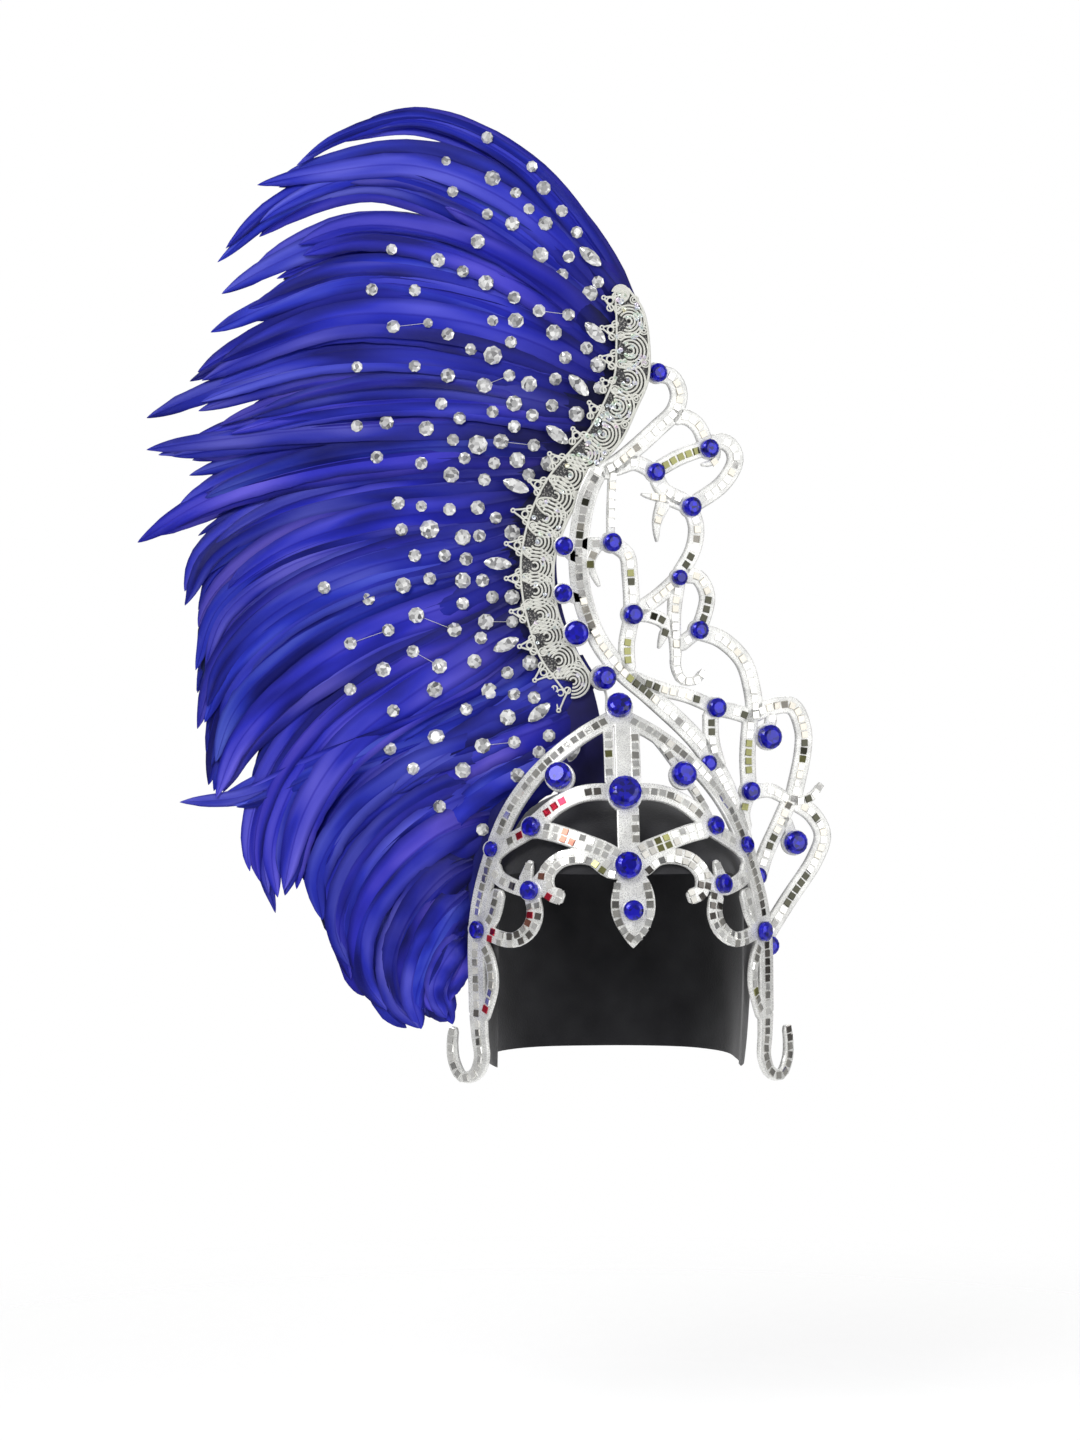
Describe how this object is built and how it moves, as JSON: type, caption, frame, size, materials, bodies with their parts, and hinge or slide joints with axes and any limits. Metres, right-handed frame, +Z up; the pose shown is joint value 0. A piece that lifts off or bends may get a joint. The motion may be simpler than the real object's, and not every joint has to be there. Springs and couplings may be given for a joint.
{
  "type": "showgirl feather headdress",
  "caption": "Worn stage headdress: felt cap, mirror-mosaic tiara with side hooks, scroll wing, lace-edged crest and a one-sided fan of blue feathers with clear crystals.",
  "frame": {"origin": "inside of the cap's crown, where the head bears", "axes": "+Z up along the height of the headdress, the front towards -Y, +X to the viewer's right"},
  "size_m": [0.4326, 0.1945, 0.5927],
  "materials": {
    "felt": "dark felt, matt",
    "mirror_mosaic": "silver glitter set with small mirror tiles",
    "velvet": "navy velvet, matt",
    "lace": "silver cord lace with pale sequins",
    "feather": "royal-blue satin feather",
    "crystal": "clear foil-backed crystal",
    "blue_glass": "royal-blue faceted glass, foil-backed"
  },
  "bodies": {
    "root": {"cap": "felt", "tiara": "mirror_mosaic", "filigree_wing": "mirror_mosaic", "crest_plate": "velvet", "lace_trim": "lace", "feathers_top": "feather", "feathers_side": "feather", "feathers_low": "feather", "rhinestone_field": "crystal", "tiara_stone_01": "blue_glass", "tiara_stone_02": "blue_glass", "tiara_stone_03": "blue_glass", "tiara_stone_04": "blue_glass", "tiara_stone_05": "blue_glass", "tiara_stone_06": "blue_glass", "tiara_stone_07": "blue_glass", "tiara_stone_08": "blue_glass", "tiara_stone_09": "blue_glass", "tiara_stone_10": "blue_glass", "tiara_stone_11": "blue_glass", "tiara_stone_12": "blue_glass", "tiara_stone_13": "blue_glass", "tiara_stone_14": "blue_glass", "wing_stone_01": "blue_glass", "wing_stone_02": "blue_glass", "wing_stone_03": "blue_glass", "wing_stone_04": "blue_glass", "wing_stone_05": "blue_glass", "wing_stone_06": "blue_glass", "wing_stone_07": "blue_glass", "wing_stone_08": "blue_glass", "wing_stone_09": "blue_glass", "wing_stone_10": "blue_glass", "wing_stone_11": "blue_glass", "wing_stone_12": "blue_glass", "wing_stone_13": "blue_glass", "wing_stone_14": "blue_glass", "wing_stone_15": "blue_glass", "wing_stone_16": "blue_glass", "wing_stone_17": "blue_glass", "wing_stone_18": "blue_glass", "wing_stone_19": "blue_glass"}
  },
  "joints": []
}
